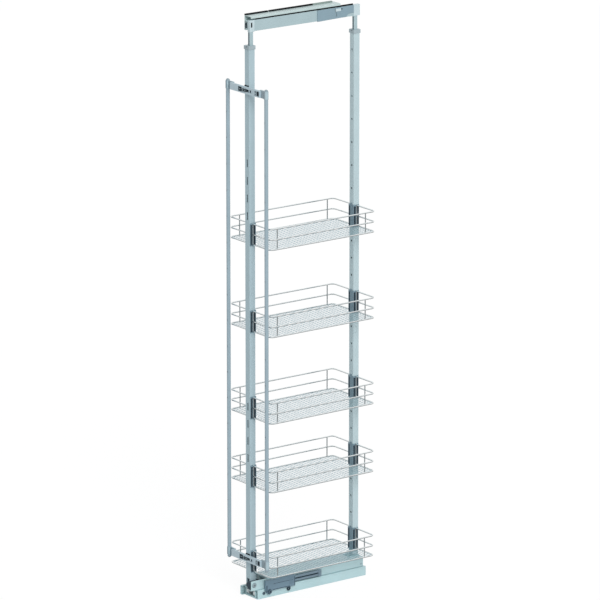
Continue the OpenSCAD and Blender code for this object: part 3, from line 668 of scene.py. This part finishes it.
# %% Strands of the mesh
overlap = 0.6
span = length_of(step_x, step_y) + size["strand"] * overlap
slant = step_y.math("ARCTAN2", step_x)
column = (net.axis(point, 0) + size["half_width"]) / step_x
row = (net.axis(point, 1) + size["half_length"]) / step_y
square = column.math("FLOOR") + row.math("FLOOR")
lean = 1 - square.math("FLOORED_MODULO", 2.0) * 2
strand_size = net.node("ShaderNodeCombineXYZ", None,
                       {0: span, 1: size["strand"], 2: size["thickness"]})
strand = net.node("GeometryNodeMeshCube", None, {"Size": strand_size})
turn = net.node("ShaderNodeCombineXYZ", None, {0: lean * size["tilt"], 2: lean * slant})
woven = net.node("GeometryNodeInstanceOnPoints", None,
                 {"Points": kept, "Instance": strand, "Rotation": turn})
woven = net.node("GeometryNodeRealizeInstances", None, {"Geometry": woven})
print("grid and strand nodes:", len(net.tree.nodes))

# %% [markdown]
# ## Basket mesh: the rounded edge
# The ends of the outermost strands would stand out past the basket's rounded corners. A point
# that lies past the rounded outline is pulled in to it, where a real mesh is welded to the
# wire. The maths works on one quarter and takes the sign back at the end.

# %% Rounded edge of the mesh
least_reach = 0.1 * MM
here = net.node("GeometryNodeInputPosition")
here_x = net.axis(here, 0)
here_y = net.axis(here, 1)
far_x = here_x.math("ABSOLUTE")
far_y = here_y.math("ABSOLUTE")
over_x = (far_x - base_x).math("MAXIMUM", 0.0)
over_y = (far_y - base_y).math("MAXIMUM", 0.0)
over = length_of(over_x, over_y).math("MAXIMUM", least_reach)
shrink = (size["corner"] / over).math("MINIMUM", 1.0)
near_x = far_x.math("MINIMUM", base_x) + over_x * shrink
near_y = far_y.math("MINIMUM", base_y) + over_y * shrink
moved = net.node("ShaderNodeCombineXYZ", None,
                 {0: near_x * here_x.math("SIGN"), 1: near_y * here_y.math("SIGN"),
                  2: net.axis(here, 2) + size["height"]})
woven = net.node("GeometryNodeSetPosition", None, {"Geometry": woven, "Position": moved})
woven = net.node("GeometryNodeSetMaterial", None, {"Geometry": woven, "Material": size["finish"]})
net.result(woven)
print("mesh tree nodes:", len(net.tree.nodes))

# %% [markdown]
# ## Mesh of the five baskets
# One tree serves all baskets. The width, length and height of each come from the solid mesh
# that the fine one stands for, with a hair more at the edge, so that the strands reach the
# middle of the rim's wire.

# %% Mesh of the five baskets
rim_reach = 1.2 * MM
rim_corner = 15 * MM
for number in range(1, basket_count + 1):
    node = "basket_%d_mesh" % number
    low, high = corners(node)
    mesh = run_tree(net, half_width=high.x + rim_reach, half_length=high.y + rim_reach,
                    corner=rim_corner, height=(low.z + high.z) / 2, finish=finishes["mesh_silver"])
    piece = place_piece("basket_%d_net" % number, mesh, node, finishes["mesh_silver"])
    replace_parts(piece, node)
    print(piece.name, "faces:", len(piece.data.polygons))

# %% [markdown]
# ## Screw tree
# A screw is a shank, a washer face, a head with a chamfer and a drive in the middle. The drive
# is a flat disc; where it is black, that is painted shade for the recess of a real drive. A tree
# builds it from five cones, the last a thin dark ring on the washer face, and puts it on each
# seat point, turned the way the screw points.

# %% Screw tree
washer = 0.3
film = 0.05 * MM
head_shares = (0.86, 0.78)
ring_shares = (0.98, 0.9)
shank_sides = 16
head_sides = 32
drive_sides = 6
screw = Bench("screw")
part = screw.inputs(radius=("Float", 0.005), height=("Float", 0.003), shank=("Float", 0.0025),
                    length=("Float", 0.01), drive=("Float", 0.002), turn=("Vector", (0, 0, 0)),
                    finish=("Material", None), dark=("Material", None))


def cone(low, high, depth, rise, sides, material):
    """A cone frustum of the screw, standing at height rise, in one material."""
    shape = screw.node("GeometryNodeMeshCone", None,
                       {"Vertices": sides, "Radius Bottom": low, "Radius Top": high, "Depth": depth})
    move = screw.node("ShaderNodeCombineXYZ", None, {2: rise})
    shape = screw.node("GeometryNodeTransform", None, {"Geometry": shape, "Translation": move})
    return screw.node("GeometryNodeSetMaterial", None, {"Geometry": shape, "Material": material})


washer_top = part["height"] * washer
head_foot, head_top = (part["radius"] * share for share in head_shares)
ring_foot, ring_top = (part["radius"] * share for share in ring_shares)
layers = (
    cone(part["shank"], part["shank"], part["length"], part["length"] * -1, shank_sides,
         part["finish"]),
    cone(part["radius"], part["radius"], washer_top, 0.0, head_sides, part["finish"]),
    cone(head_foot, head_top, part["height"] * (1 - washer), washer_top, head_sides, part["finish"]),
    cone(part["drive"], part["drive"], film, part["height"], drive_sides, part["dark"]),
    cone(ring_foot, ring_top, film, washer_top, head_sides, part["dark"]),
)
stack = screw.tree.nodes.new("GeometryNodeJoinGeometry")
for layer in layers:
    screw.tree.links.new(layer.socket, stack.inputs[0])
seated = screw.node("GeometryNodeInstanceOnPoints", None,
                    {"Points": part["Geometry"], "Instance": Tone(screw, stack.outputs[0]),
                     "Rotation": part["turn"]})
screw.result(screw.node("GeometryNodeRealizeInstances", None, {"Geometry": seated}))
print("screw tree nodes:", len(screw.tree.nodes))

# %% [markdown]
# ## Loose parts
# The screws of one kind share a solid, and so do the two rollers. A walk along the edges from
# any corner finds all of one loose part, and its box tells where it sits. Measuring keeps the
# pieces right if the frame's sizes change.

# %% Loose parts
def loose_boxes(name):
    """The low and high corner of each loose part of a solid."""
    shape = merged(name)
    left = set(shape.verts)
    boxes = []
    while left:
        front = [left.pop()]
        group = list(front)
        while front:
            near = {e.other_vert(v) for v in front for e in v.link_edges} & left
            left -= near
            front = list(near)
            group += front
        boxes.append((Vector([min(v.co[i] for v in group) for i in range(3)]),
                      Vector([max(v.co[i] for v in group) for i in range(3)])))
    shape.free()
    return boxes


print("screws of the cross bars:", len(loose_boxes("bar_screws")))

# %% [markdown]
# ## Seats of the screws
# A screw's head lies at the outer end of its box, and its seat is the face under the head. The
# drive of the pale foot bolts is grey, that of the black screws of the cross bars is pale, and
# all others are black, which is painted shade for the recess.

# %% Seats of the screws
head_slack = 0.3 * MM
hair = 0.05 * MM
drive_share = 0.42
turns = {"+X": (0, math.radians(90), 0), "-Y": (math.radians(90), 0, 0), "+Z": (0, 0, 0)}
drive_finishes = {"foot_bolts": finishes["bright_steel"], "bar_screws": pale_zinc}


def screws_at(seats, metal, drive, **sizes):
    """Screws on seat points. Their faces are numbered 0 for the metal and 1 for the drive."""
    start = bpy.data.meshes.new("seats")
    start.from_pydata(seats, [], [])
    mesh = run_tree(screw, start, drive=sizes["radius"] * drive_share, finish=metal, dark=drive, **sizes)
    second = [mesh.materials[f.material_index] == drive for f in mesh.polygons]
    mesh.polygons.foreach_set("material_index", second)
    return mesh


def drive_screws(name, towards, head, height, shank):
    """The screws of a solid whose heads are head wide, pointing out of the part. A hair of
    slack keeps each head and tip off the faces that slide past them."""
    axis = "XYZ".index(towards[1])
    cross = (axis + 1) % 3
    seats = []
    lengths = []
    for low, high in loose_boxes(name):
        if abs(high[cross] - low[cross] - head) > head_slack:
            continue
        seat = (low + high) / 2
        outer = high[axis] - height + hair if towards[0] == "+" else low[axis] + height - hair
        inner = low[axis] if towards[0] == "+" else high[axis]
        lengths.append(abs(outer - inner) - 3 * hair)
        seat[axis] = outer
        seats.append(seat)
        radius = (high[cross] - low[cross]) / 2
    return screws_at(seats, finish_of(name), drive_finishes.get(name, black_and_painted_shade), radius=radius,
                     height=height, shank=shank, length=min(lengths), turn=turns[towards])


print("kinds of seat:", list(turns))

# %% [markdown]
# ## Screws and bolts
# Each row tells the way the heads point, their width, their height and the radius of the
# shank, in millimetres. A solid can hold screws of several widths, which are made apart and
# then joined to one piece.

# %% Screws and bolts
round_crease = 35


def joined(meshes):
    """Several meshes as one."""
    shape = bmesh.new()
    for mesh in meshes:
        shape.from_mesh(mesh)
    result = bpy.data.meshes.new("joined")
    shape.to_mesh(result)
    shape.free()
    crease(result, round_crease)
    return result


screw_rows = {
    "bar_screws": [("-Y", 13, 3.0, 2.5)],
    "collar_screws": [("-Y", 4.4, 2.0, 1.25)],
    "rail_bolts": [("+X", 12, 3.0, 2.5), ("+X", 17, 5.0, 3.0)],
    "foot_bolts": [("+X", 19, 2.5, 3.0), ("+X", 6.8, 1.5, 2.5), ("+Z", 10, 3.0, 2.5)],
}
for name, rows in screw_rows.items():
    meshes = [drive_screws(name, towards, head * MM, height * MM, shank * MM)
              for towards, head, height, shank in rows]
    piece = place_piece(name + "_turned", joined(meshes), name, finish_of(name),
                        drive_finishes.get(name, black_and_painted_shade))
    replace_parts(piece, name)
    print(piece.name, "faces:", len(piece.data.polygons))

# %% [markdown]
# ## Adjusting cams
# The outer windows of the two cross bars hold black blocks with a small metal cam each, which
# sets the door's height and lean. The black of the blocks is partly painted shade, for the depth
# of the windows. The same screw tree makes the cams: the seats are the front faces of the black
# blocks, sorted from left to right. The cam of the narrow block sits to one side, and the right
# block has a black cam, painted shade like its block.

# %% Adjusting cams
cam_height = 1.6 * MM
# The right cam is black as painted shade, like its block.
cam_kinds = ((0.5, 2.8 * MM, pale_zinc), (0.7, 1.8 * MM, pale_zinc), (0.5, 2.8 * MM, black_and_painted_shade))
blocks = sorted(loose_boxes("bar_inserts"), key=lambda box: box[0].x)
cam_meshes = []
for kind, (share, radius, metal) in enumerate(cam_kinds):
    seats = [Vector((low.x + (high.x - low.x) * share, low.y, (low.z + high.z) / 2))
             for low, high in blocks[2 * kind:2 * kind + 2]]
    cam_meshes.append(screws_at(seats, metal, black_and_painted_shade, radius=radius, height=cam_height,
                                shank=radius / 2, length=2 * cam_height, turn=turns["-Y"]))
cams = place_piece("adjusting_cams", joined(cam_meshes), "bar_inserts", pale_zinc, black_and_painted_shade)
print("cams:", len(blocks))

# %% [markdown]
# ## Lathe
# Rollers and dampers are round, so each is a profile spun about its axis, as on a lathe. A
# profile is a short list of points: the place along the width and the radius, both as shares
# of the solid's own size, so it fits any size of the solid.

# %% Lathe
lathe_steps = 48


def lathe(profile, middle, half_width, radius, axis):
    """Spins a closed profile of (share of half_width, share of radius) about an axis."""
    points = []
    for step in range(lathe_steps):
        turn = 2 * math.pi * step / lathe_steps
        for along, out in profile:
            a = along * half_width
            b = out * radius * math.cos(turn)
            c = out * radius * math.sin(turn)
            points.append(middle + (Vector((a, b, c)) if axis == "X" else Vector((c, a, b))))
    count = len(profile)
    faces = []
    for step in range(lathe_steps):
        here = step * count
        there = (step + 1) % lathe_steps * count
        for i in range(count):
            j = (i + 1) % count
            faces.append((here + i, here + j, there + j, there + i))
    mesh = bpy.data.meshes.new("turned")
    mesh.from_pydata(points, [], faces)
    shape = bmesh.new()
    shape.from_mesh(mesh)
    bmesh.ops.recalc_face_normals(shape, faces=shape.faces)
    shape.to_mesh(mesh)
    shape.free()
    crease(mesh, round_crease)
    return mesh


print("lathe steps:", lathe_steps)

# %% [markdown]
# ## Rollers and damper
# The nylon roller gets rounded shoulders, a dished web and a hub with a bore for its axle. The
# damper gets a chamfered front cap and a groove at each end, where a real one is crimped.

# %% Rollers and damper
roller_profile = [(-1, 0.27), (-1, 0.45), (-0.66, 0.47), (-0.66, 0.72), (-0.97, 0.76), (-0.97, 0.92),
                  (-0.85, 0.98), (-0.7, 1), (0.7, 1), (0.85, 0.98), (0.97, 0.92), (0.97, 0.76),
                  (0.66, 0.72), (0.66, 0.47), (1, 0.45), (1, 0.27)]
roller_meshes = []
for low, high in loose_boxes("front_rollers"):
    half = (high - low) / 2
    roller_meshes.append(lathe(roller_profile, (low + high) / 2, half.x, half.y, "X"))
rollers = place_piece("turned_rollers", joined(roller_meshes), "front_rollers", finishes["nylon"])
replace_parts(rollers, "front_rollers")
print("rollers:", len(roller_meshes))

damper_profile = [(-1, 0.68), (-1, 0.93), (-0.98, 1), (-0.93, 1), (-0.92, 0.9), (-0.88, 0.9),
                  (-0.87, 1), (0.85, 1), (0.86, 0.92), (0.9, 0.92), (0.91, 1), (1, 1), (1, 0.68)]
damper_low, damper_high = corners("damper_cylinder")
half = (damper_high - damper_low) / 2
damper_mesh = lathe(damper_profile, (damper_low + damper_high) / 2, half.y, half.z, "Y")
damper = place_piece("turned_damper", damper_mesh, "damper_cylinder", finishes["damper_grey"])
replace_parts(damper, "damper_cylinder")
print("damper length:", round(half.y * 2, 3))

# %% [markdown]
# ## Moulded plates
# Plastic parts carry small raised and sunk details: tabs, caps, inserts and seals. Each is a
# rounded plate with a chamfer. Its outline is four quarter circles, so it needs only a size
# and a corner radius. A detail rides on the solid that it sits on, and several plates on one
# solid are joined to one piece.

# %% Moulded plates
ring_points = 24
chamfer = 0.4
towards_front = Matrix.Rotation(math.radians(-90), 3, "Z")


def rounded_plate(middle, width, height, corner, thickness, turn=Matrix()):
    """A plate that faces +X, width along Y and height along Z, with a chamfered outer edge.
    turn points it another way."""
    points = []
    for out, inset in ((0, 0), (thickness * (1 - chamfer), 0), (thickness, thickness * chamfer)):
        for step in range(ring_points):
            angle = 2 * math.pi * (step + 0.5) / ring_points
            side_y = math.copysign(width / 2 - corner, math.cos(angle))
            side_z = math.copysign(height / 2 - corner, math.sin(angle))
            reach = corner - inset
            points.append(middle + turn @ Vector((out, side_y + reach * math.cos(angle),
                                                  side_z + reach * math.sin(angle))))
    top = 2 * ring_points
    faces = [tuple(range(ring_points - 1, -1, -1)), tuple(range(top, top + ring_points))]
    for level in (0, ring_points):
        for i in range(ring_points):
            j = (i + 1) % ring_points
            faces.append((level + i, level + j, level + ring_points + j, level + ring_points + i))
    mesh = bpy.data.meshes.new("plate")
    mesh.from_pydata(points, [], faces)
    crease(mesh, flat_crease)
    return mesh


def add_detail(name, plates, like, material):
    """Places plates as one piece on the body of the solid like, in the given finish."""
    mesh = plates[0] if len(plates) == 1 else joined(plates)
    piece = place_piece(name, mesh, like, material)
    print(name, "plates:", len(plates))


print("points of a plate:", 3 * ring_points)

# %% [markdown]
# ## Top cover and front bracket
# The cover at the rear end of the top bar has a pale clip tab and a small dark pin beside it.
# The slot in the side of the front bracket shows a black insert. They stand out by a
# millimetre or so. Modelling them into the cover would mean cutting its mesh, and plates set
# on it look the same.

# %% Top cover and front bracket
tab_back = 91 * MM
tab_drop = 9 * MM
pin_step = Vector((0, 16 * MM, 2 * MM))
insert_drop = 15 * MM
cover_low, cover_high = corners("top_cover")
tab_middle = Vector((cover_high.x, cover_low.y + tab_back, cover_high.z - tab_drop))
cover_tab = rounded_plate(tab_middle, width=24 * MM, height=10 * MM, corner=2 * MM, thickness=MM)
add_detail("cover_tab", [cover_tab], "top_cover", cast)
cover_pin = rounded_plate(tab_middle + pin_step, width=5 * MM, height=5 * MM, corner=2.4 * MM,
                          thickness=MM)
add_detail("cover_pin", [cover_pin], "top_cover", black_and_painted_shade)
inner_low, inner_high = corners("front_inner_post")
slot_middle = Vector((inner_high.x, (inner_low.y + inner_high.y) / 2, inner_high.z - insert_drop))
slot_insert = rounded_plate(slot_middle, width=5.8 * MM, height=17.6 * MM, corner=1.2 * MM,
                            thickness=1.4 * MM)
add_detail("slot_insert", [slot_insert], "top_front_bracket", finishes["black_rubber"])

# %% [markdown]
# ## Seals and stops of the top guide
# Two black seal strips lie along the top bar, with a short gap between them; their black is
# partly painted shadow for the gap between the bar and the rail. A dark plate in the open front
# end of the cabinet's top rail is painted shade for the inside of its channel, and the middle
# rail ends in a black cap, whose black is partly painted shade of the open rail end. A strip
# could be a profile swept along a curve, but a straight one is just a long plate.

# %% Seals and stops of the top guide
seal_x = 4 * MM
seal_height = 5.2 * MM
channel_shade_inset = 4.5 * MM
channel_shade_back = 2.5 * MM
channel_shade_rise = 18 * MM
bar_low, bar_high = corners("top_bar")
seal_spans = ((6 * MM, 156 * MM), (162 * MM, bar_high.y - bar_low.y))
seals = []
# The strips' black is partly painted shadow for the gap between bar and rail.
for start, end in seal_spans:
    middle = Vector((seal_x, bar_low.y + (start + end) / 2, bar_high.z + seal_height / 2))
    seals.append(rounded_plate(middle, width=end - start, height=seal_height, corner=0.8 * MM,
                               thickness=3.5 * MM))
add_detail("bar_seal", seals, "top_bar", finishes["black_rubber"])

# Painted shade: a dark plate inside the open front end of the rail's channel.
rail_low = corners("top_rail")[0]
channel_shade_middle = Vector((rail_low.x + channel_shade_inset, rail_low.y + channel_shade_back, bar_low.z + channel_shade_rise))
rail_channel_shade = rounded_plate(channel_shade_middle, width=4.6 * MM, height=29 * MM, corner=1.5 * MM,
                          thickness=1.5 * MM, turn=towards_front)
add_detail("rail_channel_shade", [rail_channel_shade], "top_rail", finishes["dark_plastic"])

# A black cap on the middle rail's end; its black is partly painted shade.
middle_low, middle_high = corners("top_middle_rail")
cap_middle = (middle_low + middle_high) / 2
cap_middle.y = middle_low.y
end_cap = rounded_plate(cap_middle, width=3.4 * MM, height=26 * MM, corner=1.2 * MM,
                        thickness=0.8 * MM, turn=towards_front)
add_detail("middle_end_cap", [end_cap], "top_middle_rail", black_and_painted_shade)

# %% [markdown]
# ## Windows of the cross bars
# Behind the middle window of each cross bar lies a dark plate, which is painted shade for the
# window's depth, and two pale lugs stand in front of it, given by their place and width. Above
# and below each bar the black edge of its fixing plate shows as a thin lip; its black is partly
# painted shade along the bar's edges. All of these face the front, so the plates are turned.

# %% Windows of the cross bars
window_x = 28.6 * MM
window_shade_depth = MM
lug_depth = 3.9 * MM
lug_places = ((25.3 * MM, 4.4 * MM), (39.3 * MM, 5 * MM))
lip_rise = 1.2 * MM
plates_low, plates_high = corners("bar_plates")
window_shades = []
lugs = []
lips = []
for name in ("upper_bar", "lower_bar"):
    low, high = corners(name)
    height = (low.z + high.z) / 2
    back = Vector((window_x, high.y - window_shade_depth, height))
    # Painted shade: a dark plate behind the middle window.
    window_shades.append(rounded_plate(back, width=28.4 * MM, height=9.6 * MM, corner=1.5 * MM,
                                 thickness=3 * MM, turn=towards_front))
    for x, lug_width in lug_places:
        foot = Vector((x, high.y - lug_depth, height))
        lugs.append(rounded_plate(foot, width=lug_width, height=9.4 * MM, corner=1.5 * MM,
                                  thickness=3.4 * MM, turn=towards_front))
    # Black lips for the plate's edge, partly painted shade along the bar.
    for z in (low.z - lip_rise, high.z + lip_rise):
        lip_middle = Vector((0, plates_high.y, z))
        lips.append(rounded_plate(lip_middle, width=plates_high.x - plates_low.x, height=4.4 * MM,
                                  corner=MM, thickness=2.8 * MM, turn=towards_front))
add_detail("window_painted_shade", window_shades, "bar_inserts", black_and_painted_shade)
add_detail("window_lugs", lugs, "upper_bar", bar_coat)
add_detail("plate_lips", lips, "bar_plates", finishes["black_rubber"])

# %% [markdown]
# ## Ribs of the soft-close housing
# The rear of the housing has a row of upright ribs, which stiffen a thin plastic wall. Copies
# set by hand would all have to be moved for one change, so a small tree repeats a round bar
# along a line. The number of ribs and their step are inputs.

# %% Ribs of the soft-close housing
rib = Bench("rib_row")
ribs = rib.inputs(count=("Int", 4), first=("Vector", (0, 0, 0)), step=("Vector", (0, 0.004, 0)),
                  thick=("Float", 0.001), tall=("Float", 0.02), finish=("Material", None))
line = rib.node("GeometryNodeMeshLine", None,
                {"Count": ribs["count"], "Start Location": ribs["first"], "Offset": ribs["step"]})
bar = rib.node("GeometryNodeMeshCylinder", None,
               {"Vertices": 12, "Radius": ribs["thick"], "Depth": ribs["tall"]})
rib_row = rib.node("GeometryNodeInstanceOnPoints", None, {"Points": line, "Instance": bar})
rib_row = rib.node("GeometryNodeRealizeInstances", None, {"Geometry": rib_row})
rib.result(rib.node("GeometryNodeSetMaterial", None, {"Geometry": rib_row, "Material": ribs["finish"]}))

housing = finish_of("soft_close_housing")
case_low, case_high = corners("soft_close_housing")
first_rib = Vector((0, -26 * MM, -19 * MM))
rib_mesh = run_tree(rib, count=5, first=case_high + first_rib, step=(0, 4.5 * MM, 0),
                    thick=0.9 * MM, tall=26 * MM, finish=housing)
crease(rib_mesh, round_crease)
housing_ribs = place_piece("housing_ribs", rib_mesh, "soft_close_housing", housing)
print(housing_ribs.name, "faces:", len(rib_mesh.polygons))

# %% [markdown]
# ## Grooves of the soft-close housing
# Thin dark lines show where the halves of the housing meet. They are very flat plates on its
# side. Each row gives how far back and how high a line lies, its width and its height, in
# millimetres. One larger plate makes the shadow behind the damper.

# %% Grooves of the soft-close housing
groove_lines = ((2, 23, 1.6, 24), (6.5, 23, 1.6, 24), (128, 30, 1.8, 36), (68, 15.5, 76, 1.6),
                (78, 37, 88, 1.2))
damper_shadow_inset = 0.2 * MM
damper_shadow_rise = Vector((0, 0, 6.5 * MM))
damper_shadow_gap = 2 * MM
grooves_and_shadow = []
for y, z, width, height in groove_lines:
    middle = Vector((case_high.x, case_low.y + y * MM, case_low.z + z * MM))
    grooves_and_shadow.append(rounded_plate(middle, width=width * MM, height=height * MM, corner=0.5 * MM,
                                 thickness=0.3 * MM))
# Painted shadow: a dark plate behind the damper's tubes.
damper_shadow = (damper_low + damper_high) / 2 + damper_shadow_rise
damper_shadow.x = case_low.x + damper_shadow_inset
damper_shadow_length = damper_high.y - damper_low.y - damper_shadow_gap
grooves_and_shadow.append(rounded_plate(damper_shadow, width=damper_shadow_length, height=23 * MM, corner=MM,
                             thickness=0.8 * MM))
add_detail("housing_grooves_and_shadow", grooves_and_shadow, "soft_close_housing", black_and_painted_shade)
